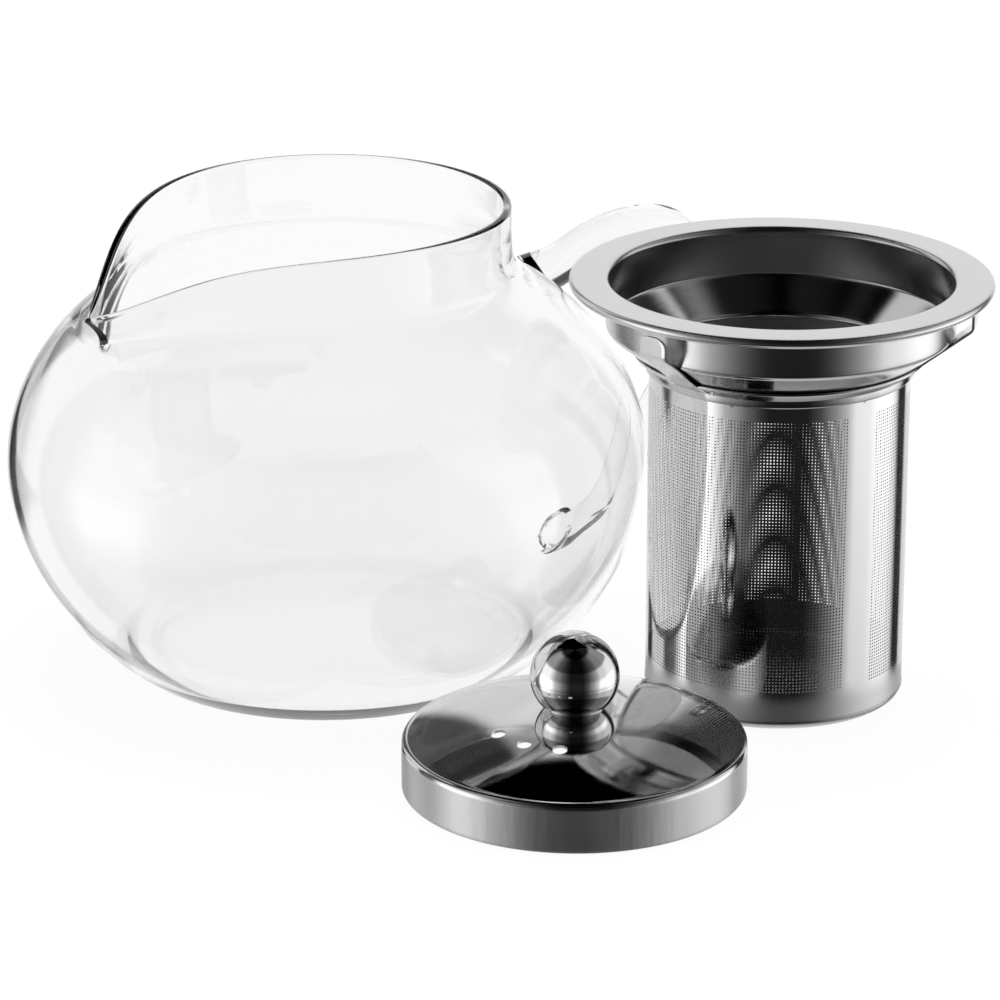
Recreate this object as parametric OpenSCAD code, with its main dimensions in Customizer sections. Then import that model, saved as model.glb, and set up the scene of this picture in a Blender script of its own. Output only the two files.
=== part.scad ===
// Infuser teapot: a blown glass pot, a steel infuser and a steel lid, laid out side by side.
// The frame's origin is the centre of the pot's base on the table, +Z up.
// Lifted into the pot, the infuser's flange rests on the rim and the lid drops in its well.

/* [Glass pot] */
// Greatest outer radius of the bowl
bowl_r = 79.3; // [74:0.1:82]
// Height of the bowl's widest ring above the table
bowl_mid_z = 52; // [48:0.5:56]
// Outer radius of the straight neck
neck_r = 45.5; // [44:0.1:48]
// Height of the rim above the table
rim_z = 116.7; // [114:0.1:122]
// Thickness of the blown glass wall
glass_t = 2.0; // [1.6:0.1:2.4]
// Thickness of the glass at the middle of the base
base_t = 3.6; // [3:0.1:5]
// Direction of the spout, in degrees about Z
spout_dir = 210; // [200:1:220]
// Reach of the spout's tip from the pot's axis
spout_reach = 65; // [58:0.5:67]
// Height of the spout's tip
spout_tip_z = 97.5; // [95:0.5:104]

/* [Glass handle] */
// Direction of the handle, in degrees about Z
handle_dir = 30; // [25:1:40]
// Radius of the glass rod where the hand holds it
rod_r = 5.3; // [4.6:0.1:5.6]
// Radius of the rod at its root, where it spreads on to the shoulder
root_r = 6.8; // [5.6:0.1:7]
// Radius of the rod's lower part, where the glass was drawn thinner
thin_r = 3.9; // [3.6:0.1:4.6]
// Radius of the gather where the rod's lower end is fused on
blob_r = 5.6; // [5:0.1:6.6]

/* [Infuser] */
// Distance of the infuser's axis from the pot's axis, along X
infuser_x = 110.4; // [110:0.1:125]
// Distance of the infuser's axis from the pot's axis, along Y
infuser_y = -22.6; // [-30:0.1:-20]
// Height from the foot to the flange's top
infuser_h = 105; // [100:0.5:112]
// Outer radius of the flange
flange_r = 51.1; // [49:0.1:53]
// Radius of the well that the lid drops into
well_r = 41.4; // [41:0.1:41.6]
// Depth of the well's straight wall
well_depth = 12.7; // [11:0.1:14]
// Thickness of the collar's sheet
collar_t = 0.8; // [0.6:0.1:0.9]
// Outer radius of the strainer tube
tube_r = 31.8; // [30:0.1:32]
// Thickness of the tube's sheet
tube_t = 0.5; // [0.4:0.1:0.6]
// Outer reach of the three spring arms
arm_reach = 47.2; // [46:0.1:48]
// Width of a spring arm
arm_w = 8; // [6:0.5:9]

/* [Lid] */
// Distance of the lid's axis from the pot's axis, along X
lid_x = 60.2; // [58:0.1:62]
// Distance of the lid's axis from the pot's axis, along Y
lid_y = -85.8; // [-92:0.1:-85.6]
// Outer radius of the lid's skirt
lid_r = 40.5; // [39.5:0.1:40.7]
// Height of the skirt
skirt_h = 12; // [11:0.1:13]
// Rise of the dome above the skirt
dome_rise = 7.5; // [5:0.1:9]
// Thickness of the lid's sheet
lid_t = 0.6; // [0.5:0.1:0.8]
// Radius of the knob's ball
ball_r = 10.5; // [9.5:0.1:11]
// Height of the ball's centre above the dome that it is seated on
ball_lift = 7.8; // [6:0.1:9]
// Radius of each vent hole
vent_r = 1.75; // [1.5:0.05:2]

/* [Hidden] */
$fn = 96;

// Bowl and neck
bowl_down = 66;        // semi-axis of the bowl below its widest ring
bowl_up = 58;          // semi-axis of the bowl above it
neck_blend = 4.5;      // softness of the fillet between shoulder and neck
foot_flat_r = 45.3;    // radius of the flat that the pot stands on
foot_round = 1.94;     // height at which the rounded foot meets the bowl
lip_start_z = 88;      // height at which the spout starts to leave the shoulder
lip_span = rim_z - glass_t / 2 - lip_start_z;
dip_width = 27.7;      // angular width of the rim's dip, in degrees
dip_power = 1.29;      // how rounded the dip is: 1 is a sharp V, 2 a soft hollow
push_width = 22;       // angular width of the beak's outward pull, in degrees
pot_sides = 60;

// Infuser
collar_bottom = 22.5;  // depth of the collar's lip below the flange's top
cone_end = 20.2;       // depth at which the cone meets that lip
hem_r = 1;             // radius of the flange's rolled edge
foot_corner = 2;       // radius of the strainer's bottom corner
spring_t = 0.7;        // thickness of the spring ring's strip
arm_top = 4.5;         // depth of the arms' tips below the flange's top
arm_dirs = [227, 347, 107];

// Lid
ball_z = skirt_h + dome_rise + ball_lift;
dome_r = (pow(lid_r - 1.2, 2) + pow(dome_rise, 2)) / (2 * dome_rise);
stud_r = 2;            // M4 thread
vent_ring = 21.2;      // radius of the arc that the vents lie on
vent_dirs = [213, 236, 260];

// ---- Glass pot ----

function smooth(t) = let (u = min(max(t, 0), 1)) u * u * (3 - 2 * u);

// Radius of the bowl's ellipse at height z, for a wall set in by d
function ellipse_r(z, d) =
    let (half = (z < bowl_mid_z ? bowl_down : bowl_up) - d)
    (bowl_r - d) * sqrt(max(0, 1 - pow((z - bowl_mid_z) / half, 2)));

// Radius of the whole wall at height z: the ellipse, blended into the neck above it
function wall_r(z, d) =
    let (
        e = ellipse_r(z, d),
        n = neck_r - d,
        blend = neck_blend * smooth((z - bowl_mid_z) / 30)
    )
    z < bowl_mid_z ? e : (e + n + sqrt(pow(e - n, 2) + pow(blend, 2))) / 2;

// Quadratic curve through a corner
function bend(a, b, c, n) =
    [for (i = [0 : n]) let (t = i / n) a * pow(1 - t, 2) + b * 2 * t * (1 - t) + c * pow(t, 2)];

low_z = [for (i = [1 : 9]) foot_round + (bowl_mid_z - foot_round) * sin(i * 10)];
high_z = [for (i = [1 : 8]) bowl_mid_z + (lip_start_z - 2 - bowl_mid_z) * sin(i * 11.25)];
neck_z = [for (i = [0 : 14]) lip_start_z + lip_span * i / 14];
wall_z = concat(low_z, high_z, neck_z);
foot_r = ellipse_r(foot_round, 0);
floor_z = base_t - 0.6;
floor_r = ellipse_r(floor_z + 2, glass_t);

// Half section of the pot, from the middle of its underside to the middle of its floor.
// Each point is a radius, a height, how far it lies inside the outer wall, and a rise that
// the pinch leaves as it is.
outer_half = concat(
    [[0, 0, 0, 0], [30, 0, 0, 0]],
    [for (p = bend([foot_flat_r, 0], [48.8, 0], [foot_r, foot_round], 4)) [p[0], p[1], 0, 0]],
    [for (z = wall_z) [wall_r(z, 0), z, 0, 0]]
);
bead_r = glass_t / 2;
bead = [
    for (a = [30 : 30 : 150])
        let (in = bead_r - bead_r * cos(a))
        [wall_r(rim_z - bead_r, 0) - in, rim_z - bead_r, in, bead_r * sin(a)]
];
inner_half = concat(
    [for (i = [len(wall_z) - 1 : -1 : 1]) [wall_r(wall_z[i], glass_t), wall_z[i], glass_t, 0]],
    [
        for (p = bend([floor_r, floor_z + 2], [floor_r - 5, floor_z], [floor_r - 12, floor_z], 4))
            [p[0], p[1], glass_t, 0]
    ],
    [[22, floor_z + 0.2, glass_t, 0], [0, base_t, glass_t, 0]]
);

// Angle between a direction and the spout, from -180 to 180
function off_spout(a) = let (d = (a - spout_dir + 540) % 360) d - 180;

// Section of the wall at the spout, from the shoulder (s = 0) inwards and out again to the tip
function lip_section(s, d) =
    let (
        foot = [wall_r(lip_start_z, d), lip_start_z],
        waist = foot + [-3.5, 3.2],
        tip = [spout_reach - d, spout_tip_z - glass_t / 2]
    )
    foot * pow(1 - s, 2) + waist * 2 * s * (1 - s) + tip * pow(s, 2);

// Moves a point of the half section, at direction a, to where the pinched spout has it
function pinch(p, a) =
    let (
        s = max(0, (p[1] - lip_start_z) / lip_span),
        lip = lip_section(s, p[2]),
        dip = s > 0 ? exp(-pow(abs(off_spout(a)) / dip_width, dip_power)) : 0,
        push = s > 0 ? exp(-abs(off_spout(a)) / push_width) : 0,
        r = p[0] + push * (lip[0] - p[0]),
        z = p[1] + dip * (lip[1] - p[1]) + p[3]
    )
    [r * cos(a), r * sin(a), z];

// Closed skin of a half section whose first and last points lie on the axis
module turned_skin(half) {
    rings = len(half) - 2;
    last = rings * pot_sides + 1;
    points = concat(
        [[0, 0, half[0][1]]],
        [
            for (i = [1 : rings], j = [0 : pot_sides - 1])
                pinch(half[i], j * 360 / pot_sides)
        ],
        [[0, 0, half[rings + 1][1]]]
    );
    faces = concat(
        [for (j = [0 : pot_sides - 1]) [0, 1 + j, 1 + (j + 1) % pot_sides]],
        [
            for (i = [0 : rings - 2], j = [0 : pot_sides - 1], side = [0, 1])
                let (
                    a = 1 + i * pot_sides + j,
                    b = 1 + i * pot_sides + (j + 1) % pot_sides
                )
                side == 0 ? [a, a + pot_sides, b] : [b, a + pot_sides, b + pot_sides]
        ],
        [
            for (j = [0 : pot_sides - 1])
                let (base = 1 + (rings - 1) * pot_sides)
                [last, base + (j + 1) % pot_sides, base + j]
        ]
    );
    polyhedron(points = points, faces = faces, convexity = 10);
}

module pot_body() {
    color([0.86, 0.92, 0.92, 0.35]) turned_skin(concat(outer_half, bead, inner_half));
}

// ---- Glass handle ----

// Middle of the rod, as distances from the pot's axis and heights
handle_route = [
    [53, 88], [58, 89], [66, 91], [77, 95.8], [88, 97.8], [98, 96.3], [105.5, 89], [107.5, 77],
    [103, 60], [94, 46], [90, 36.5], [84.5, 25.5], [77, 20.3], [67, 18.4], [60, 18.2]
];

// Point at parameter t of a smooth curve through the route
function route_point(t) =
    let (
        n = len(handle_route),
        i = min(floor(t), n - 2),
        u = t - i,
        a = handle_route[max(i - 1, 0)],
        b = handle_route[i],
        c = handle_route[i + 1],
        d = handle_route[min(i + 2, n - 1)]
    )
    (b * 2 + (c - a) * u + (a * 2 - b * 5 + c * 4 - d) * pow(u, 2) + (b * 3 - a - c * 3 + d) * pow(u, 3)) / 2;

// Radius of the rod, from its root down to the fused gather at its lower end
function route_radius(t) =
    rod_r + (root_r - rod_r) * (1 - smooth((t - 0.9) / 1.5))
    + (thin_r - rod_r) * smooth((t - 6) / 4) + (blob_r - thin_r) * smooth((t - 12) / 0.9);

module handle_rod() {
    steps = 3 * (len(handle_route) - 1);
    sides = 16;
    points = [
        for (i = [0 : steps], j = [0 : sides - 1])
            let (
                t = i / 3,
                p = route_point(t),
                ahead = route_point(min(t + 0.05, steps / 3)) - route_point(max(t - 0.05, 0)),
                out = [ahead[1], -ahead[0]] / norm(ahead),
                a = j * 360 / sides,
                r = route_radius(t)
            )
            [p[0] + out[0] * r * cos(a), r * sin(a), p[1] + out[1] * r * cos(a)]
    ];
    faces = concat(
        [[for (j = [0 : sides - 1]) j]],
        [
            for (i = [0 : steps - 1], j = [0 : sides - 1], side = [0, 1])
                let (a = i * sides + j, b = i * sides + (j + 1) % sides)
                side == 0 ? [a, a + sides, b] : [b, a + sides, b + sides]
        ],
        [[for (j = [sides - 1 : -1 : 0]) steps * sides + j]]
    );
    rotate([0, 0, handle_dir]) polyhedron(points = points, faces = faces, convexity = 6);
}

module pot_handle() {
    color([0.86, 0.92, 0.92, 0.35]) difference() {
        handle_rod();
        turned_skin(concat(outer_half, [[0, rim_z - glass_t, 0, 0]]));
    }
}

// ---- Infuser ----

module at_infuser() {
    translate([infuser_x, infuser_y, 0]) children();
}

// Draws a half section, given as radius and depth below the flange's top, around the infuser's axis
module hung() {
    rotate_extrude() translate([0, infuser_h]) mirror([0, 1]) children();
}

module infuser_collar() {
    wall_r = well_r + collar_t;
    lip_r = tube_r + collar_t;
    color([0.80, 0.80, 0.80]) at_infuser() hung() union() {
        translate([well_r + 0.6, 0]) square([flange_r - hem_r - well_r - 0.6, collar_t]);
        translate([flange_r - hem_r, hem_r]) circle(r = hem_r, $fn = 32);
        difference() {
            translate([well_r, 0]) square([wall_r - well_r, well_depth]);
            difference() {
                translate([well_r - 0.01, -0.01]) square([0.61, 0.61]);
                translate([well_r + 0.6, 0.6]) circle(r = 0.6, $fn = 32);
            }
        }
        polygon([
            [well_r, well_depth - 1], [wall_r, well_depth - 1], [wall_r, well_depth],
            [lip_r, cone_end], [lip_r, collar_bottom], [tube_r, collar_bottom],
            [tube_r, cone_end - 0.4], [well_r, well_depth - 0.4]
        ]);
    }
}

// Depth of the cone's outer face at radius r, carried on past the well's wall
function cone_depth(r) =
    let (slope = (cone_end - well_depth) / (well_r - tube_r))
    cone_end - (r - tube_r - collar_t) * slope;

// Strip that hugs the cone and turns up at its outer end
module spring_strip(reach) {
    root = tube_r + collar_t;
    drop = spring_t * 1.27;  // the strip's thickness measured straight down through its slope
    polygon([
        [root, cone_depth(root)], [reach, cone_depth(reach)],
        [reach, cone_depth(reach) + drop], [root, cone_depth(root) + drop]
    ]);
}

module spring_arm() {
    rise = cone_depth(arm_reach);
    tip = 2.5;
    intersection() {
        rotate([90, 0, 0]) linear_extrude(arm_w, center = true)
            translate([0, infuser_h]) mirror([0, 1]) union() {
                spring_strip(arm_reach);
                translate([arm_reach - spring_t, arm_top]) square([spring_t, rise - arm_top + 0.6]);
            }
        translate([0, 0, infuser_h - 30]) rotate([90, 0, 90]) linear_extrude(60) union() {
            translate([-arm_w / 2, 0]) square([arm_w, 30 - arm_top - tip]);
            translate([tip - arm_w / 2, 0]) square([arm_w - 2 * tip, 30 - arm_top]);
            for (side = [-1, 1])
                translate([side * (arm_w / 2 - tip), 30 - arm_top - tip]) circle(r = tip, $fn = 32);
        }
    }
}

module spring_ring() {
    color([0.88, 0.88, 0.88]) at_infuser() union() {
        hung() spring_strip(tube_r + collar_t + 2.6);
        for (a = arm_dirs) rotate([0, 0, a]) difference() {
            spring_arm();
            cylinder(r = tube_r + collar_t, h = infuser_h);
        }
    }
}

module strainer_tube() {
    color([0.72, 0.72, 0.73]) at_infuser() translate([0, 0, foot_corner]) difference() {
        cylinder(r = tube_r, h = infuser_h - cone_end - foot_corner);
        translate([0, 0, -1]) cylinder(r = tube_r - tube_t, h = infuser_h);
    }
}

module strainer_base() {
    flat_r = tube_r - foot_corner;
    color([0.72, 0.72, 0.73]) at_infuser() rotate_extrude() union() {
        square([flat_r, tube_t]);
        translate([flat_r, foot_corner]) intersection() {
            difference() {
                circle(r = foot_corner, $fn = 48);
                circle(r = foot_corner - tube_t, $fn = 48);
            }
            translate([0, -foot_corner]) square(foot_corner);
        }
    }
}

// ---- Lid ----

module at_lid() {
    translate([lid_x, lid_y, 0]) children();
}

// Half section of the lid's outer form, set in by d
module lid_form(d) {
    shoulder = 1.2 - d;
    dome_z = skirt_h + dome_rise;
    intersection() {
        square([lid_r - d, dome_z]);
        translate([0, dome_z - dome_r]) circle(r = dome_r - d, $fn = 360);
        union() {
            square([lid_r - d, skirt_h - 1.2]);
            square([lid_r - 1.2, dome_z]);
            translate([lid_r - 1.2, skirt_h - 1.2]) circle(r = shoulder, $fn = 32);
        }
    }
}

module lid_cap() {
    color([0.82, 0.82, 0.82]) at_lid() difference() {
        rotate_extrude() difference() {
            lid_form(0);
            lid_form(lid_t);
        }
        translate([0, 0, skirt_h]) cylinder(r = stud_r + 0.2, h = 2 * dome_rise, $fn = 48);
        for (a = vent_dirs)
            rotate([0, 0, a]) translate([vent_ring, 0, skirt_h])
                cylinder(r = vent_r, h = 2 * dome_rise, $fn = 48);
    }
}

module lid_knob() {
    color([0.85, 0.85, 0.85]) at_lid() difference() {
        translate([0, 0, ball_z]) sphere(r = ball_r);
        rotate_extrude() lid_form(0);
        translate([0, 0, skirt_h]) cylinder(r = stud_r, h = ball_z + 3 - skirt_h, $fn = 48);
    }
}

washer_t = 0.8;
washer_top = skirt_h + dome_rise - lid_t - 0.1;

module knob_washer() {
    color([0.70, 0.70, 0.70]) at_lid() translate([0, 0, washer_top - washer_t]) difference() {
        cylinder(r = 4.5, h = washer_t, $fn = 64);
        translate([0, 0, -1]) cylinder(r = stud_r + 0.15, h = 3, $fn = 48);
    }
}

module knob_screw() {
    head_h = 2.4;
    head_top = washer_top - washer_t;
    color([0.70, 0.70, 0.70]) at_lid() difference() {
        union() {
            translate([0, 0, head_top - head_h]) cylinder(r = 3.8, h = head_h, $fn = 64);
            translate([0, 0, head_top]) cylinder(r = stud_r - 0.05, h = 9, $fn = 48);
        }
        for (a = [0, 90])
            rotate([0, 0, a]) translate([-2, -0.4, head_top - head_h - 1]) cube([4, 0.8, 2.4]);
    }
}

pot_body();
pot_handle();
infuser_collar();
spring_ring();
strainer_tube();
strainer_base();
lid_cap();
lid_knob();
knob_washer();
knob_screw();
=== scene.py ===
"""The looks of an infuser teapot: a blown glass pot, its perforated steel infuser and its steel lid."""
import math

import bpy
import numpy as np
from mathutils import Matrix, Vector


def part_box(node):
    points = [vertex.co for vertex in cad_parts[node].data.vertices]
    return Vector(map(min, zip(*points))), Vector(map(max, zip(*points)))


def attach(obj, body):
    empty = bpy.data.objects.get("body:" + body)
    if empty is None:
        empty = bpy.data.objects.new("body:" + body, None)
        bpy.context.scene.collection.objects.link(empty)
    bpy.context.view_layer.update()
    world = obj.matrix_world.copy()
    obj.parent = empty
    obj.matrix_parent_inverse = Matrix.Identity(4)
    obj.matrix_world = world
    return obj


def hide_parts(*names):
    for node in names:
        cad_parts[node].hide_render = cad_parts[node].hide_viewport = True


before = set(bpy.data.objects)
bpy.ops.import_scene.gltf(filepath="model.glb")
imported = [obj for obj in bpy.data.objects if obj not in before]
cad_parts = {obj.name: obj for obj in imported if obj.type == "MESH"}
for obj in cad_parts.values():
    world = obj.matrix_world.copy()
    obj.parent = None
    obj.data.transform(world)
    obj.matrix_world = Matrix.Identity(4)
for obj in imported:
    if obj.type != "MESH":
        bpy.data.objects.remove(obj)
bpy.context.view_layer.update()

MM = 0.001
AROUND = 240          # faces round a turned piece

# ---- Places and sizes, from the frame ----

_, pot_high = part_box("pot_body")
collar_low, collar_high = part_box("infuser_collar")
tube_low, tube_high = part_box("strainer_tube")
cap_low, cap_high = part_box("lid_cap")
knob_low, knob_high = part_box("lid_knob")

infuser_axis = (collar_low + collar_high) / 2
lid_axis = (cap_low + cap_high) / 2
infuser_h = collar_high.z
flange_r = (collar_high.x - collar_low.x) / 2
tube_r = (tube_high.x - tube_low.x) / 2
lid_r = (cap_high.x - cap_low.x) / 2
lid_top = cap_high.z
rim_z = pot_high.z

# ---- Mesh helpers ----


def new_object(name, verts, faces, at=(0, 0, 0)):
    mesh = bpy.data.meshes.new(name)
    mesh.from_pydata([tuple(v) for v in verts], [], faces)
    mesh.validate()
    mesh.update()
    obj = bpy.data.objects.new(name, mesh)
    bpy.context.scene.collection.objects.link(obj)
    obj.location = at
    return obj


def smooth_shade(obj, sharp_deg=40):
    """Smooth shading with a crease wherever two faces meet at more than sharp_deg."""
    mesh = obj.data
    mesh.polygons.foreach_set("use_smooth", [True] * len(mesh.polygons))
    mesh.set_sharp_from_angle(angle=math.radians(sharp_deg))
    mesh.update()


def turned(name, half, axis=(0, 0), around=AROUND, move=None):
    """Closed solid turned from a closed half section of (radius, height) points.
    A point at radius 0 becomes one vertex. move may shift a point by its direction round the axis."""
    verts, rings = [], []
    for i, point in enumerate(half):
        if point[0] < 1e-9:
            rings.append([len(verts)])
            verts.append((0, 0, point[1]))
            continue
        rings.append(list(range(len(verts), len(verts) + around)))
        for k in range(around):
            a = 2 * math.pi * k / around
            r, z = move(i, a) if move else point[:2]
            verts.append((r * math.cos(a), r * math.sin(a), z))
    faces = []
    closed = half[0][0] > 1e-9 and half[-1][0] > 1e-9
    pairs = list(zip(rings, rings[1:])) + ([(rings[-1], rings[0])] if closed else [])
    for low, high in pairs:
        for k in range(around):
            n = (k + 1) % around
            if len(low) == 1:
                faces.append((low[0], high[n], high[k]))
            elif len(high) == 1:
                faces.append((low[k], low[n], high[0]))
            else:
                faces.append((low[k], low[n], high[n], high[k]))
    return new_object(name, verts, faces, (axis[0], axis[1], 0))


def rounded_path(corners, step=0.12 * MM):
    """Path through (x, y, radius) corners with each corner rounded by an arc."""
    points = [np.array(corners[0][:2], float)]
    for before, here, after in zip(corners, corners[1:], corners[2:]):
        p = np.array(here[:2], float)
        u = np.array(before[:2], float) - p
        v = np.array(after[:2], float) - p
        u, v = u / np.linalg.norm(u), v / np.linalg.norm(v)
        half_angle = math.acos(max(-1, min(1, float(u @ v)))) / 2
        radius = here[2]
        back = radius / math.tan(half_angle)
        centre = p + (u + v) / np.linalg.norm(u + v) * radius / math.sin(half_angle)
        start, end = p + u * back - centre, p + v * back - centre
        turn = math.pi - 2 * half_angle
        count = max(4, int(radius * turn / step))
        side = math.copysign(1, start[0] * end[1] - start[1] * end[0])
        for i in range(count + 1):
            a = side * turn * i / count
            c, s = math.cos(a), math.sin(a)
            points.append(centre + (start[0] * c - start[1] * s, start[0] * s + start[1] * c))
    points.append(np.array(corners[-1][:2], float))
    return np.array(points)


def dense(path, longest):
    """The path with extra points, so that no stretch is longer than longest."""
    out = [path[0]]
    for a, b in zip(path, path[1:]):
        count = max(1, math.ceil(np.linalg.norm(b - a) / longest))
        out += [a + (b - a) * i / count for i in range(1, count + 1)]
    return np.array(out)


def normals_of(path):
    ahead = np.gradient(path, axis=0)
    ahead /= np.linalg.norm(ahead, axis=1)[:, None]
    return np.stack([-ahead[:, 1], ahead[:, 0]], 1)


def sheet_section(path, thickness):
    """Closed outline of a bent sheet: the path's two sides, joined by round edges."""
    n = normals_of(path)
    h = thickness / 2
    first_turn = 0.3      # from the sheet's side to the first point of its round edge, in radians
    turns = np.linspace(first_turn, math.pi - first_turn, 6)
    caps = []
    for centre, normal, sign in ((path[-1], n[-1], 1), (path[0], n[0], -1)):
        ahead = np.array([normal[1], -normal[0]]) * sign
        caps.append([centre + sign * normal * h * math.cos(a) + ahead * h * math.sin(a) for a in turns])
    return np.concatenate([path + n * h, caps[0], (path - n * h)[::-1], caps[1]])


# ---- Material helpers ----


class Nodes:
    """Short forms for building the node tree of a material or a world."""

    def __init__(self, owner):
        owner.use_nodes = True
        self.material = owner
        self.tree = owner.node_tree
        self.shader = self.tree.nodes.get("Principled BSDF")

    def add(self, kind, **values):
        node = self.tree.nodes.new(kind)
        for key, value in values.items():
            setattr(node, key, value)
        return node

    def link(self, out, into):
        self.tree.links.new(out, into)

    def feed(self, value, socket):
        """Sets the socket to a number, or links it to an output."""
        if isinstance(value, (int, float)):
            socket.default_value = value
        else:
            self.link(value, socket)

    def math(self, operation, *inputs):
        node = self.add("ShaderNodeMath", operation=operation)
        for socket, value in zip(node.inputs, inputs):
            self.feed(value, socket)
        return node.outputs[0]

    def place(self):
        return self.add("ShaderNodeTexCoord").outputs["Object"]

    def split(self, vector):
        node = self.add("ShaderNodeSeparateXYZ")
        self.link(vector, node.inputs[0])
        return node.outputs

    def join(self, *parts):
        node = self.add("ShaderNodeCombineXYZ")
        for socket, value in zip(node.inputs, parts):
            self.feed(value, socket)
        return node.outputs[0]

    def noise(self, vector, scale, detail):
        node = self.add("ShaderNodeTexNoise")
        node.inputs["Scale"].default_value = scale
        node.inputs["Detail"].default_value = detail
        self.link(vector, node.inputs["Vector"])
        return node.outputs["Fac"]

    def remap(self, value, low, high, to_low, to_high):
        node = self.add("ShaderNodeMapRange", interpolation_type="SMOOTHSTEP")
        self.link(value, node.inputs[0])
        for i, number in enumerate((low, high, to_low, to_high)):
            node.inputs[i + 1].default_value = number
        return node.outputs[0]

    def choose(self, factor, no, yes):
        node = self.add("ShaderNodeMix", data_type="FLOAT")
        self.link(factor, node.inputs["Factor"])
        self.feed(no, node.inputs["A"])
        self.feed(yes, node.inputs["B"])
        return node.outputs[0]

    def tint(self, value, dark, light):
        node = self.add("ShaderNodeMix", data_type="RGBA")
        self.link(value, node.inputs["Factor"])
        node.inputs["A"].default_value = (*dark, 1)
        node.inputs["B"].default_value = (*light, 1)
        self.link(node.outputs["Result"], self.shader.inputs["Base Color"])

    def bump(self, height, strength, distance):
        node = self.add("ShaderNodeBump")
        node.inputs["Strength"].default_value = strength
        node.inputs["Distance"].default_value = distance
        self.link(height, node.inputs["Height"])
        self.link(node.outputs[0], self.shader.inputs["Normal"])

    def polar(self):
        """Radius, height and direction round the piece's own axis."""
        x, y, z = self.split(self.place())
        radius = self.math("SQRT", self.math("ADD", self.math("MULTIPLY", x, x), self.math("MULTIPLY", y, y)))
        return radius, z, self.math("ARCTAN2", y, x)

    def rings(self, scale=9000, along=0.0006):
        """Fine rings round the axis, which change slowly along their own length."""
        radius, z, direction = self.polar()
        return self.noise(self.join(radius, z, self.math("MULTIPLY", direction, along)), scale, 2)


GROOVE_DEPTH = 0.02 * MM


def turned_steel(name, grey, roughness, groove, marks=0.05):
    """Steel polished on a spindle: fine rings round the axis, and a trace of uneven polish."""
    m = Nodes(bpy.data.materials.new(name))
    rings = m.rings()
    cloud = m.noise(m.place(), 55, 4)
    m.shader.inputs["Metallic"].default_value = 1
    m.tint(cloud, (grey * 0.93,) * 3, (grey,) * 3)
    uneven = m.math("ADD", m.math("MULTIPLY", cloud, marks), m.math("MULTIPLY", rings, marks * 0.7))
    m.link(m.math("ADD", uneven, roughness), m.shader.inputs["Roughness"])
    m.bump(rings, groove, GROOVE_DEPTH)
    return m.material


def collar_steel():
    """A satin flange over a finer well and a polished cone, with rings from the spindle; painted shade
    darkens the well and the cone.
    """
    m = Nodes(bpy.data.materials.new("collar_steel"))
    radius, z, _ = m.polar()
    rings = m.rings()
    cloud = m.noise(m.place(), 55, 4)
    m.shader.inputs["Metallic"].default_value = 1
    # Painted shade: the well and the cone get a darker colour than the flange, standing in for the dark
    # recess.
    inner = m.remap(radius, well_r + 0.2 * MM, well_r + 0.6 * MM, 0.35, 1)
    uneven_tint = m.math("ADD", m.math("MULTIPLY", cloud, 0.4), 0.6)
    m.tint(m.math("MULTIPLY", inner, uneven_tint), (0.44,) * 3, (0.66,) * 3)
    well = m.remap(z, infuser_h - 13 * MM, infuser_h - 11.5 * MM, 0.05, 0.17)
    flange = m.remap(z, infuser_h - 1.5 * MM, infuser_h - 0.4 * MM, 0.0, 0.05)
    uneven = m.math("ADD", m.math("MULTIPLY", cloud, 0.05), m.math("MULTIPLY", rings, 0.04))
    m.link(m.math("ADD", m.math("ADD", well, flange), uneven), m.shader.inputs["Roughness"])
    m.bump(rings, 0.35, GROOVE_DEPTH)
    return m.material


def foil_steel(name, grey, roughness):
    """Rolled sheet, rougher inside and darkened there by painted shade, with faint lines round the tube, soft
    dents and a row of spot welds.
    """
    m = Nodes(bpy.data.materials.new(name))
    _, z, direction = m.polar()
    lines = m.noise(m.join(m.math("MULTIPLY", direction, 0.002), z, 0), 7000, 2)
    dents = m.noise(m.place(), 38, 2)
    inside = m.add("ShaderNodeNewGeometry").outputs["Backfacing"]
    along = m.math("PINGPONG", m.math("SUBTRACT", direction, WELD_DIR), WELD_STEP / 2)
    along = m.math("MULTIPLY", along, tube_r)
    up = m.math("SUBTRACT", z, WELD_Z)
    away = m.math("SQRT", m.math("ADD", m.math("MULTIPLY", along, along), m.math("MULTIPLY", up, up)))
    weld = m.remap(away, 0.35 * MM, 0.85 * MM, 1, 0)
    m.shader.inputs["Metallic"].default_value = 1
    # Painted shade: the inside faces of the tube get a darker colour; the spot welds' darker colour is their
    # own.
    m.tint(m.math("MAXIMUM", m.math("MULTIPLY", inside, 0.75), weld), (grey,) * 3, (grey * 0.45,) * 3)
    worn = m.remap(z, 5 * MM, GRID_LOW + 3 * MM, 0.36, 0)
    rough = m.math("ADD", m.math("MULTIPLY", lines, 0.07), worn)
    rough = m.math("ADD", rough, m.math("MULTIPLY", inside, 0.4))
    m.link(m.math("ADD", rough, roughness), m.shader.inputs["Roughness"])
    height = m.math("ADD", m.math("MULTIPLY", lines, 0.05), m.math("MULTIPLY", dents, 4.0))
    m.bump(m.math("SUBTRACT", height, m.math("MULTIPLY", weld, 1.5)), 0.25, 0.05 * MM)
    return m.material


GLASS_IOR = 1.474


def clear_glass(name):
    """Borosilicate glass with the slow waves of a mouth-blown wall."""
    m = Nodes(bpy.data.materials.new(name))
    s = m.shader.inputs
    s["Base Color"].default_value = (0.952, 0.954, 0.954, 1)
    s["Transmission Weight"].default_value = 1
    s["IOR"].default_value = GLASS_IOR
    waves = m.noise(m.place(), 28, 2)
    m.link(m.remap(m.noise(m.place(), 120, 3), 0.3, 0.8, 0.0, 0.012), s["Roughness"])
    m.bump(waves, 0.12, 1.2 * MM)
    return m.material


# ---- Glass pot: the same wall as the CAD node, in finer steps ----

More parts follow.
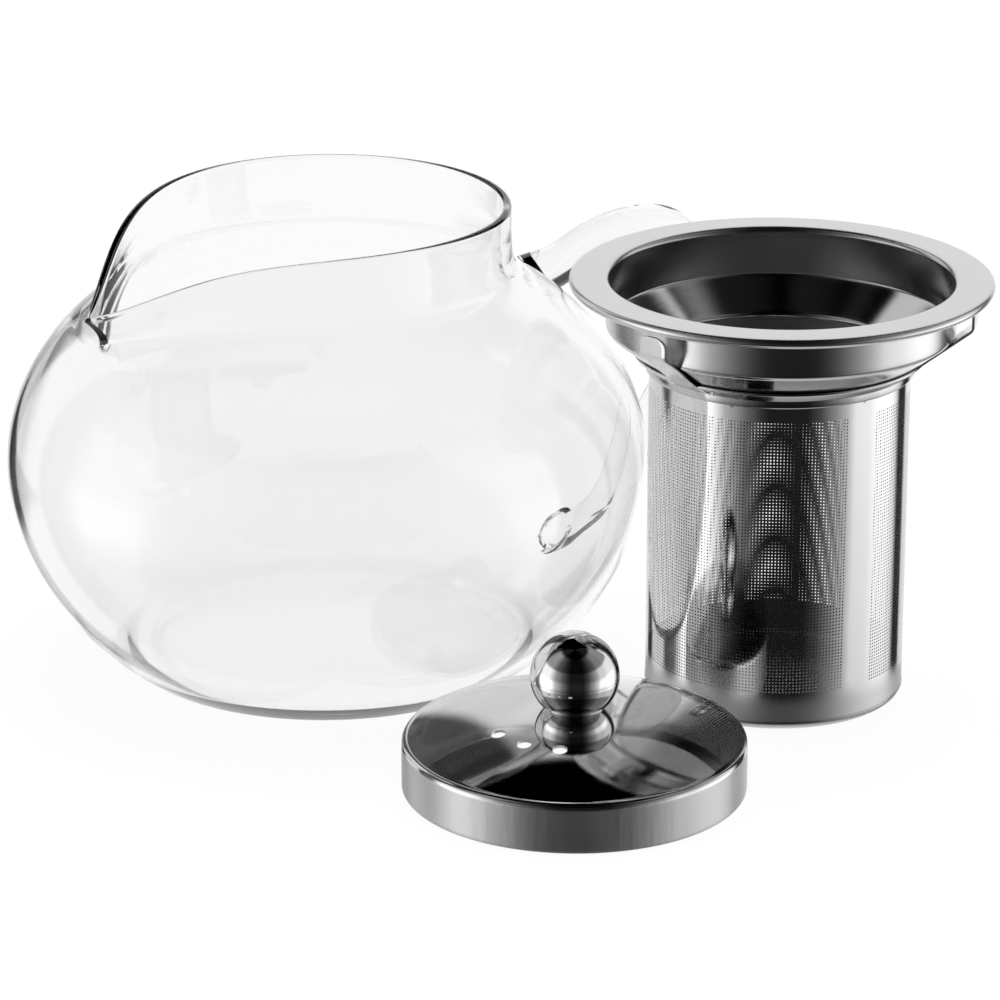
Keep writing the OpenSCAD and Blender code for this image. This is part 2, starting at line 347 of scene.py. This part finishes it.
bowl_r, bowl_mid = 79.3 * MM, 52 * MM
bowl_down, bowl_up = 66 * MM, 58 * MM
neck_r, neck_blend, blend_span = 45.5 * MM, 4.5 * MM, 30 * MM
glass_t, base_t = 2.0 * MM, 3.6 * MM
foot_flat, foot_corner, foot_round = 45.3 * MM, 48.8 * MM, 1.94 * MM
lip_start = 88 * MM
spout_dir, spout_reach, spout_tip = math.radians(210), 65 * MM, 97.5 * MM
dip_width, dip_power, push_width = math.radians(27.7), 1.29, math.radians(22)
bead_r = glass_t / 2
lip_span = rim_z - bead_r - lip_start


def ellipse_r(z, inset):
    """Radius of the bowl alone at height z, inset from its outer face."""
    half = (bowl_down if z < bowl_mid else bowl_up) - inset
    return (bowl_r - inset) * math.sqrt(max(0, 1 - ((z - bowl_mid) / half) ** 2))


def ease(t):
    """0 to 1 with soft ends."""
    u = min(max(t, 0), 1)
    return u * u * (3 - 2 * u)


def wall_r(z, inset):
    """Radius of the bowl and the neck with the fillet between them."""
    e, n = ellipse_r(z, inset), neck_r - inset
    blend = neck_blend * ease((z - bowl_mid) / blend_span)
    return e if z < bowl_mid else (e + n + math.hypot(e - n, blend)) / 2


def bend(a, b, c, count):
    """Points of a curve from a to c that is pulled towards b."""
    for i in range(count + 1):
        t = i / count
        yield tuple(p * (1 - t) ** 2 + q * 2 * t * (1 - t) + r * t * t for p, q, r in zip(a, b, c))


def pot_section():
    """Points of radius, height, inset from the outer wall, and a rise that the pinch leaves alone."""
    def rise(low, high, count):
        """Heights that get closer together towards high."""
        return [low + (high - low) * math.sin(i / count * math.pi / 2) for i in range(1, count + 1)]

    lip_rows = 44
    walls = rise(foot_round, bowl_mid, 28) + rise(bowl_mid, lip_start - MM, 24)
    walls += [lip_start + lip_span * i / lip_rows for i in range(lip_rows + 1)]
    floor_z = base_t - 0.6 * MM
    floor_r = ellipse_r(floor_z + 2 * MM, glass_t)
    foot = bend((foot_flat, 0), (foot_corner, 0), (ellipse_r(foot_round, 0), foot_round), 10)
    outer = [(0, 0, 0, 0)] + [(foot_flat * i / 8, 0, 0, 0) for i in range(1, 8)]
    outer += [(r, z, 0, 0) for r, z in foot] + [(wall_r(z, 0), z, 0, 0) for z in walls]
    top = rim_z - bead_r
    bead = [
        (wall_r(top, 0) - bead_r * (1 - math.cos(a)), top, bead_r * (1 - math.cos(a)), bead_r * math.sin(a))
        for a in np.linspace(0, math.pi, 13)[1:-1]
    ]
    inner = [(wall_r(z, glass_t), z, glass_t, 0) for z in walls[::-1][:-1]]
    floor = bend((floor_r, floor_z + 2 * MM), (floor_r - 5 * MM, floor_z), (floor_r - 12 * MM, floor_z), 12)
    inner += [(r, z, glass_t, 0) for r, z in floor]
    inner += [(22 * MM * i / 5, base_t - 0.4 * MM * (i / 5) ** 2, glass_t, 0) for i in (5, 4, 3, 2, 1, 0)]
    return outer + bead + inner


def pinch(point, a):
    """Where the pinched spout has a point of the section, at direction a."""
    r, z, inset, rise = point
    if z <= lip_start:
        return r, z + rise
    s = (z - lip_start) / lip_span
    foot = np.array([wall_r(lip_start, inset), lip_start])
    waist = foot + np.array([-3.5, 3.2]) * MM
    tip = np.array([spout_reach - inset, spout_tip - bead_r])
    lip = foot * (1 - s) ** 2 + waist * 2 * s * (1 - s) + tip * s * s
    off = abs((a - spout_dir + 3 * math.pi) % (2 * math.pi) - math.pi)
    dip, push = math.exp(-((off / dip_width) ** dip_power)), math.exp(-off / push_width)
    return r + push * (lip[0] - r), z + dip * (lip[1] - z) + rise


# Middle of the handle's rod, as distances from the pot's axis and heights
HANDLE_ROUTE = np.array(
    [
        (53, 88), (58, 89), (66, 91), (77, 95.8), (88, 97.8), (98, 96.3), (105.5, 89), (107.5, 77),
        (103, 60), (94, 46), (90, 36.5), (84.5, 25.5), (77, 20.3), (67, 18.4), (60, 18.2),
    ]
) * MM
handle_dir = math.radians(30)
rod_r, root_r, thin_r, blob_r = 5.3 * MM, 6.0 * MM, 3.9 * MM, 5.6 * MM
ROOT_END, THIN_START, BLOB_START = 0.9, 6, 12            # places on the route, counted in its points
ROOT_FADE, THIN_FADE, BLOB_FADE = 1.5, 4, 0.9            # how long each change of radius takes
ROD_PHASE = 0.37      # turns the rod's vertices out of the plane of the pot's, for clean booleans
GATHER_T = 12.9       # where on the route the lower gather is
GATHER_TWIST = 0.035  # keeps the gather's vertices out of the same plane
gather_thick, lower_gather_r, upper_gather_r = 2.3 * MM, 5.9 * MM, 6.6 * MM


def route_radius(t):
    """Radius of the rod at place t: wide at the root, thinner below, with a blob at the end."""
    root = (root_r - rod_r) * (1 - ease((t - ROOT_END) / ROOT_FADE))
    thin = (thin_r - rod_r) * ease((t - THIN_START) / THIN_FADE)
    blob = (blob_r - thin_r) * ease((t - BLOB_START) / BLOB_FADE)
    return rod_r + root + thin + blob


def route_point(t):
    """Point at place t of a smooth curve through HANDLE_ROUTE (Catmull-Rom)."""
    last = len(HANDLE_ROUTE) - 1
    i = min(int(t), last - 1)
    u = t - i
    a, b, c, d = (HANDLE_ROUTE[min(max(j, 0), last)] for j in (i - 1, i, i + 1, i + 2))
    square, cube = 2 * a - 5 * b + 4 * c - d, 3 * b - a - 3 * c + d
    return (2 * b + (c - a) * u + square * u * u + cube * u ** 3) / 2


def handle_rod():
    sides, per_span = 48, 16
    steps = per_span * (len(HANDLE_ROUTE) - 1)
    verts, faces = [], []
    for i in range(steps + 1):
        t = i / per_span
        p = route_point(t)
        ahead = route_point(min(t + 0.05, steps / per_span)) - route_point(max(t - 0.05, 0))
        out = np.array([ahead[1], -ahead[0]]) / np.linalg.norm(ahead)
        radius = route_radius(t)
        for k in range(sides):
            a = 2 * math.pi * (k + ROD_PHASE) / sides
            r, z = p + out * radius * math.cos(a)
            side = radius * math.sin(a)
            x = r * math.cos(handle_dir) - side * math.sin(handle_dir)
            y = r * math.sin(handle_dir) + side * math.cos(handle_dir)
            verts.append((x, y, z))
    for i in range(steps):
        for k in range(sides):
            n = (k + 1) % sides
            a, b = i * sides, (i + 1) * sides
            faces.append((a + k, b + k, b + n, a + n))
    faces.append(tuple(range(sides)))
    faces.append(tuple(steps * sides + k for k in reversed(range(sides))))
    return new_object("handle_rod", verts, faces)


def boolean(obj, tool, operation):
    """Applies a boolean of obj with tool, and deletes the tool."""
    step = obj.modifiers.new("cut", "BOOLEAN")
    step.operation, step.object, step.solver = operation, tool, "EXACT"
    apply_all(obj)
    bpy.data.objects.remove(tool)


def apply_all(obj):
    graph = bpy.context.evaluated_depsgraph_get()
    mesh = bpy.data.meshes.new_from_object(obj.evaluated_get(graph))
    obj.modifiers.clear()
    obj.data = mesh


def make_gather(r, z, half_height, width):
    """The lens of glass where an end of the rod is fused on; it bulges a little through the wall."""
    lean = math.atan2((bowl_mid - z) / half_height ** 2, r / bowl_r ** 2)
    bpy.ops.mesh.primitive_uv_sphere_add(segments=64, ring_count=32, radius=1)
    gather = bpy.context.active_object
    gather.scale = (gather_thick, width, width)
    gather.rotation_euler = (GATHER_TWIST, lean, handle_dir)
    gather.location = (r * math.cos(handle_dir), r * math.sin(handle_dir), z)
    return gather


def make_pot():
    section = pot_section()
    pot = turned("pot_glass", section, move=lambda i, a: pinch(section[i], a))
    low, high = 10 * MM, 100 * MM
    middle = [(ellipse_r(z, glass_t / 2), z) for z in np.linspace(low, high, 60)]
    inside = [(0, low), *middle, (0, high)]
    rod = handle_rod()
    boolean(rod, turned("inside", inside, around=120), "DIFFERENCE")
    boolean(pot, rod, "UNION")
    r, z = route_point(GATHER_T)
    boolean(pot, make_gather(r - glass_t / 2, z, bowl_down, lower_gather_r), "UNION")
    z = HANDLE_ROUTE[0][1] + MM
    boolean(pot, make_gather(ellipse_r(z, glass_t / 2), z, bowl_up, upper_gather_r), "UNION")
    smooth_shade(pot, 35)
    pot.data.materials.clear()
    pot.data.materials.append(clear_glass("borosilicate"))
    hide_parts("pot_body", "pot_handle")
    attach(pot, "pot")


# ---- Infuser ----

collar_t = 0.8 * MM
well_r, well_depth = 41.4 * MM, 12.7 * MM
cone_end, collar_bottom = 20.2 * MM, 22.5 * MM


def hung(points):
    """Points of radius and depth below the flange, as radius and height."""
    return [(r, infuser_h - d, *rest) for r, d, *rest in points]


def make_collar():
    h = collar_t / 2
    path = rounded_path(hung([
        (flange_r - 2.6 * MM, 1.9 * MM),
        (flange_r - h, 1.9 * MM, 0.7 * MM),
        (flange_r - h, h, 0.72 * MM),
        (well_r + h, h, 1.1 * MM),
        (well_r + h, well_depth - h, 1.3 * MM),
        (tube_r + h, cone_end - h, 1.2 * MM),
        (tube_r + h, collar_bottom),
    ]))
    section = sheet_section(dense(path, 1.2 * MM), collar_t)
    collar = turned("infuser_collar_shell", section, infuser_axis)
    smooth_shade(collar, 50)
    collar.data.materials.append(collar_steel())
    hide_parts("infuser_collar")
    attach(collar, "infuser")


SEAM_DIR = math.radians(305.5)
WELD_DIR, WELD_STEP, WELD_Z = math.radians(-114), math.radians(60), 82 * MM
SEAM_HALF = math.radians(7.5)
PITCH = 0.82 * MM
HOLE = 0.19 * MM      # half the width of a hole
GRID_LOW, GRID_HIGH = 9.6 * MM, 78.5 * MM


def make_tube():
    """The rolled sheet: a grid of real holes all round, but for the seam's plain strip."""
    rows = round((GRID_HIGH - GRID_LOW) / PITCH)
    open_angle = 2 * math.pi - 2 * SEAM_HALF
    columns = round(open_angle * tube_r / PITCH)
    first = SEAM_DIR + SEAM_HALF
    angles = [first + open_angle * i / columns for i in range(columns + 1)]
    seam_steps = 10
    angles += [SEAM_DIR - SEAM_HALF + 2 * SEAM_HALF * i / seam_steps for i in range(1, seam_steps)]
    heights = [GRID_LOW + (GRID_HIGH - GRID_LOW) * i / rows for i in range(rows + 1)]
    below = [tube_low.z, (tube_low.z + GRID_LOW) / 2]
    above = [(GRID_HIGH + tube_high.z) / 2, tube_high.z]
    levels = below + heights + above
    count = len(angles)
    r = tube_r - 0.15 * MM
    verts = [(r * math.cos(a), r * math.sin(a), z) for z in levels for a in angles]
    faces = []
    step_a, step_z = open_angle / columns / 2, (GRID_HIGH - GRID_LOW) / rows / 2
    for j in range(len(levels) - 1):
        in_grid = len(below) <= j < len(below) + rows
        for i in range(count):
            n = (i + 1) % count
            corners = (j * count + i, j * count + n, (j + 1) * count + n, (j + 1) * count + i)
            if not (in_grid and i < columns):
                faces.append(corners)
                continue
            a = angles[i] + step_a
            z = levels[j] + step_z
            base = len(verts)
            for sa, sz in ((-1, -1), (1, -1), (1, 1), (-1, 1)):
                b = a + sa * HOLE / tube_r
                verts.append((r * math.cos(b), r * math.sin(b), z + sz * HOLE))
            for k in range(4):
                m = (k + 1) % 4
                faces.append((corners[k], corners[m], base + m, base + k))
    tube = new_object("strainer_wall", verts, faces, (infuser_axis.x, infuser_axis.y, 0))
    smooth_shade(tube, 80)
    tube.data.materials.append(foil_steel("strainer_steel", 0.64, 0.04))
    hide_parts("strainer_tube")
    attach(tube, "infuser")


def make_base():
    sheet = 0.5 * MM
    edge = tube_r - sheet / 2
    path = rounded_path([(0.0, sheet / 2), (edge, sheet / 2, 1.75 * MM), (edge, 2.1 * MM)])
    path = dense(path, 2 * MM)
    n = normals_of(path)
    outline = [*map(tuple, path - n * sheet / 2), *map(tuple, (path + n * sheet / 2)[::-1])]
    outline[0] = (0.0, outline[0][1])
    outline[-1] = (0.0, outline[-1][1])
    base = turned("strainer_foot", outline, infuser_axis)
    smooth_shade(base, 50)
    base.data.materials.append(turned_steel("foot_steel", 0.62, 0.24, 0.3))
    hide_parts("strainer_base")
    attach(base, "infuser")


ARM_DIRS = [math.radians(a) for a in (227, 347, 107)]


def make_spring():
    thick = 0.7 * MM
    slope = (cone_end - well_depth) / (well_r - tube_r)
    lift = thick * 0.64

    def under(r, d):
        return r, infuser_h - (cone_end - (r - tube_r - collar_t) * slope + d)

    root = tube_r + collar_t
    reach = 47.2 * MM - thick / 2
    ring_path = dense(np.array([under(root + 0.1 * MM, lift), under(root + 2.6 * MM, lift)]), 0.6 * MM)
    ring = turned("spring_ring_band", sheet_section(ring_path, thick), infuser_axis)
    bend_point = under(reach, lift)
    corners = [under(root + 0.6 * MM, lift), (*bend_point, 1.6 * MM), (reach, infuser_h - 4.5 * MM)]
    path = dense(rounded_path(corners), 0.5 * MM)
    n = normals_of(path)
    along = np.concatenate([[0], np.cumsum(np.linalg.norm(np.diff(path, axis=0), axis=1))])
    arm_half, tip, flare = 4 * MM, 2.5 * MM, 3.0 * MM
    across = np.linspace(-1, 1, 17)
    verts, faces = [], []
    for direction in ARM_DIRS:
        c, s = math.cos(direction), math.sin(direction)
        start = len(verts)
        for side in (1, -1):
            for p, normal, done in zip(path, n, along):
                left = along[-1] - done
                half = arm_half
                if left < tip:
                    half = arm_half - tip + math.sqrt(max(0, tip ** 2 - (tip - left) ** 2))
                if done < flare:
                    half += flare - math.sqrt(flare ** 2 - (flare - done) ** 2)
                for u in across:
                    edge = 1 - max(0, abs(u) - 0.93) / 0.07
                    r, z = p + normal * side * thick / 2 * (0.55 + 0.45 * edge)
                    w = u * half
                    verts.append((r * c - w * s, r * s + w * c, z))
        wide = len(across)
        far = len(path) * wide
        for i in range(len(path) - 1):
            for k in range(wide - 1):
                a = start + i * wide + k
                faces.append((a, a + 1, a + 1 + wide, a + wide))
                faces.append((a + far + 1, a + far, a + far + wide, a + far + 1 + wide))
            for k, flip in ((0, 1), (wide - 1, 0)):
                a = start + i * wide + k
                quad = (a, a + wide, a + wide + far, a + far)
                faces.append(quad[::-1] if flip else quad)
        for i, flip in ((0, 0), (len(path) - 1, 1)):
            for k in range(wide - 1):
                a = start + i * wide + k
                quad = (a, a + far, a + far + 1, a + 1)
                faces.append(quad[::-1] if flip else quad)
    arms = new_object("spring_arms", verts, faces, (infuser_axis.x, infuser_axis.y, 0))
    for piece in (ring, arms):
        smooth_shade(piece, 40)
        piece.data.materials.append(turned_steel(piece.name + "_steel", 0.68, 0.10, 0.2))
        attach(piece, "infuser")
    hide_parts("spring_ring")


# ---- Lid ----

lid_t = 0.6 * MM
skirt_h, dome_rise = 12 * MM, 7.5 * MM
vent_r, vent_ring = 1.75 * MM, 21.2 * MM
VENT_DIRS = [math.radians(a) for a in (213, 236, 260)]
dome_r = ((lid_r - 1.2 * MM) ** 2 + dome_rise ** 2) / (2 * dome_rise)


def dome_z(r):
    return lid_top - dome_r + math.sqrt(dome_r ** 2 - r ** 2)


def make_cap():
    h = lid_t / 2
    dome = [(r, dome_z(r) - h) for r in np.linspace(lid_r - 1.6 * MM, 2.3 * MM, 60)]
    corner = rounded_path([(lid_r - h, h), (lid_r - h, dome_z(lid_r - 1.2 * MM) - h, 1.0 * MM), dome[0]])
    path = dense(np.concatenate([corner, dome[1:]]), 0.8 * MM)
    cap = turned("lid_cap_shell", sheet_section(path, lid_t), lid_axis)
    for a in VENT_DIRS:
        bpy.ops.mesh.primitive_cylinder_add(
            vertices=48, radius=vent_r, depth=20 * MM,
            location=(lid_axis.x + vent_ring * math.cos(a), lid_axis.y + vent_ring * math.sin(a), lid_top),
        )
        boolean(cap, bpy.context.active_object, "DIFFERENCE")
    smooth_shade(cap, 40)
    cap.data.materials.clear()
    cap.data.materials.append(lid_steel())
    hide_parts("lid_cap")
    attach(cap, "lid")


def lid_steel():
    """A mirror dome with spinning marks, and a brushed skirt below its edge."""
    m = Nodes(bpy.data.materials.new("lid_steel"))
    rings = m.rings(8000, 0.0008)
    cloud = m.noise(m.place(), 60, 4)
    x, y, z = m.split(m.place())
    skirt = m.remap(z, skirt_h - 1.6 * MM, skirt_h - 0.9 * MM, 1, 0)
    streaks = m.noise(m.join(x, y, m.math("MULTIPLY", z, 0.12)), 190, 3)
    streaks = m.math("MULTIPLY", streaks, skirt)
    m.shader.inputs["Metallic"].default_value = 1
    m.tint(cloud, (0.60,) * 3, (0.66,) * 3)
    base = m.remap(skirt, 0, 1, 0.03, 0.32)
    uneven = m.math("ADD", m.math("MULTIPLY", cloud, 0.03), m.math("MULTIPLY", streaks, 0.12))
    m.link(m.math("ADD", base, uneven), m.shader.inputs["Roughness"])
    marks = m.math("MULTIPLY", rings, m.remap(skirt, 0, 1, 0.5, 2.0))
    m.bump(m.math("ADD", marks, m.math("MULTIPLY", streaks, 26.0)), 0.3, GROOVE_DEPTH)
    return m.material


def make_knob():
    """A ball whose underside is cut away to sit on the dome."""
    ball_r = (knob_high.x - knob_low.x) / 2
    ball_z = knob_high.z - ball_r
    seat_r = math.sqrt(ball_r ** 2 - (ball_z - lid_top) ** 2)
    edge, gap = 0.25 * MM, 0.02 * MM
    outline = [(0.0, lid_top)]
    outline += [(r, dome_z(r) + gap) for r in np.linspace(1, seat_r / MM - 0.25, 8) * MM]
    outline += [(seat_r - 0.08 * MM, dome_z(seat_r) + 0.1 * MM)]
    meet = math.acos((ball_z - dome_z(seat_r)) / ball_r) + edge / ball_r
    turns = np.linspace(meet, math.pi, 110)
    outline += [(ball_r * math.sin(a), ball_z - ball_r * math.cos(a)) for a in turns]
    outline[-1] = (0.0, ball_z + ball_r)
    knob = turned("lid_knob_ball", outline, lid_axis, around=160)
    smooth_shade(knob, 40)
    knob.data.materials.append(turned_steel("polished_steel", 0.74, 0.02, 0.05, marks=0.02))
    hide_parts("lid_knob")
    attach(knob, "lid")


def finish_fasteners():
    steel = turned_steel("fastener_steel", 0.62, 0.25, 0.2)
    for node in ("knob_washer", "knob_screw"):
        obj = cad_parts[node]
        obj.data.materials.clear()
        obj.data.materials.append(steel)


# ---- Stage: floor, light and camera ----


def make_floor():
    """A white light table. Rays that aren't from the camera also find a dark card on it, behind the
    pot's left side, so the bowl gets a dark outline. The steel doesn't mirror the table: it mirrors
    the studio's panels in its place."""
    side, z, glow = 6.0, -0.15 * MM, 0.94
    corners = [(-side, -side, z), (side, -side, z), (side, side, z), (-side, side, z)]
    floor = new_object("floor", corners, [(0, 1, 2, 3)])
    m = Nodes(bpy.data.materials.new("light_table"))
    x, y, _ = m.split(m.place())
    lean = 0.1045          # the card's right edge follows the view's slant
    right_edge = m.remap(m.math("ADD", x, m.math("MULTIPLY", y, lean)), -0.113, -0.088, 0, 1)
    left_edge = m.remap(x, -0.24, -0.20, 1, 0)
    front_edge = m.remap(y, 0.04, 0.08, 1, 0)
    clear = m.math("MAXIMUM", m.math("MAXIMUM", right_edge, left_edge), front_edge)
    seen = m.add("ShaderNodeLightPath").outputs["Is Camera Ray"]
    lit = m.math("MAXIMUM", seen, clear)
    m.shader.inputs["Base Color"].default_value = (0.10, 0.10, 0.10, 1)
    m.shader.inputs["Roughness"].default_value = 0.8
    m.shader.inputs["Specular IOR Level"].default_value = 0.0
    m.shader.inputs["Emission Color"].default_value = (1, 1, 1, 1)
    m.link(m.math("MULTIPLY", lit, glow), m.shader.inputs["Emission Strength"])
    floor.data.materials.append(m.material)
    floor.visible_glossy = False


# The studio round the set, as brightness by direction in degrees: 0 is the front, and the right is positive
PANELS = [
    (-180, 1.05), (-161, 1.05), (-157, 0.05), (-146, 0.05), (-143, 0.95), (-122, 0.95), (-118, 0.15),
    (-104, 0.3), (-93, 2.2), (-70, 2.2), (-52, 0.7), (-32, 0.2), (-20, 0.06), (-12, 0.02), (22, 0.02),
    (34, 0.1), (48, 0.4), (60, 0.8), (68, 1.4), (84, 1.5), (96, 1.9), (112, 1.9), (122, 1.0),
    (128, 0.04), (141, 0.04), (146, 1.05), (180, 1.05),
]


def make_world():
    """White to the camera. What the steel mirrors is the ring of panels, which fades with height.
    What is seen through the glass is a pale backdrop with a darker ceiling and a dark card."""
    world = bpy.data.worlds.new("studio")
    bpy.context.scene.world = world
    m = Nodes(world)
    background = m.tree.nodes["Background"]
    x, y, z = m.split(m.add("ShaderNodeTexCoord").outputs["Generated"])
    turn = m.math("DIVIDE", m.math("ARCTAN2", x, m.math("MULTIPLY", y, -1)), 2 * math.pi)
    ramp = m.add("ShaderNodeValToRGB")
    m.link(m.math("ADD", turn, 0.5), ramp.inputs[0])
    stops = ramp.color_ramp.elements
    top = max(level for _, level in PANELS)
    for i, (degrees, level) in enumerate(PANELS):
        place = degrees / 360 + 0.5
        stop = stops[i] if i < 2 else stops.new(place)
        stop.position = place
        stop.color = (level / top,) * 3 + (1,)
    panels = m.math("MULTIPLY", ramp.outputs["Color"], top)
    behind = m.remap(m.math("ABSOLUTE", turn), 115 / 360, 120 / 360, 0, 1)
    # A window is brightest just below the horizon, dimmer above it, and nearly dark overhead
    core = m.math("MULTIPLY", m.remap(z, 0.34, 0.46, 1, 0.3), m.remap(z, -0.55, -0.25, 0.2, 1))
    shade = m.math("MULTIPLY", m.remap(z, -0.12, 0.06, 1, 0.58), m.remap(z, 0.84, 0.92, 1, 0.05))
    window = m.math("MULTIPLY", core, shade)
    # Behind the set, a backdrop goes up evenly to the ceiling
    backdrop = m.remap(z, 0.72, 0.77, 1, 0)
    height = m.math("ADD", window, m.math("MULTIPLY", behind, m.math("SUBTRACT", backdrop, window)))
    table = m.remap(z, -0.85, -0.60, 0.7, 0)
    studio = m.math("MAXIMUM", m.math("MULTIPLY", panels, height), table)
    # What is seen through the glass
    card = m.math("MULTIPLY", m.remap(turn, -0.475, -0.465, 0, 1), m.remap(turn, -0.41, -0.40, 1, 0))
    upper = m.math("ADD", m.remap(z, 0.50, 0.62, 1.05, 0.4), m.remap(z, 0.85, 0.95, 0, 0.3))
    through = m.math("MULTIPLY", upper, m.math("SUBTRACT", 1, m.math("MULTIPLY", card, 0.95)))
    path = m.add("ShaderNodeLightPath").outputs
    level = m.choose(path["Is Transmission Ray"], studio, through)
    m.link(m.choose(path["Is Camera Ray"], level, 1.0), background.inputs["Strength"])
    background.inputs["Color"].default_value = (1, 1, 1, 1)


def add_light(name, place, target, size, power):
    light = bpy.data.lights.new(name, "AREA")
    light.shape, light.size, light.energy = "DISK", size, power
    obj = bpy.data.objects.new(name, light)
    bpy.context.scene.collection.objects.link(obj)
    obj.location = place
    obj.rotation_euler = (Vector(target) - Vector(place)).to_track_quat("-Z", "Y").to_euler()
    obj.visible_glossy = False
    obj.visible_transmission = False


def make_camera():
    data = bpy.data.cameras.new("camera")
    camera = bpy.data.objects.new("camera", data)
    bpy.context.scene.collection.objects.link(camera)
    bpy.context.scene.camera = camera
    data.sensor_width, data.lens = 36, 162
    pitch, distance = math.radians(19.82), 1.093
    target = Vector((0.0428, -0.0286, 0.050))
    back = Vector((0, -math.cos(pitch), math.sin(pitch)))
    camera.location = target + back * distance
    camera.rotation_euler = (-back).to_track_quat("-Z", "Y").to_euler()
    data.clip_start, data.clip_end = 0.01, 50


make_camera()
make_pot()
make_collar()
make_tube()
make_base()
make_spring()
make_cap()
make_knob()
finish_fasteners()
make_floor()
make_world()
add_light("overhead", (0.1, 0.1, 1.3), (0.04, -0.03, 0), 1.4, 12)
bpy.context.scene.view_settings.view_transform = "Standard"
cycles = bpy.context.scene.cycles
cycles.max_bounces = cycles.transmission_bounces = 24      # light crosses many walls of glass
cycles.glossy_bounces = 8
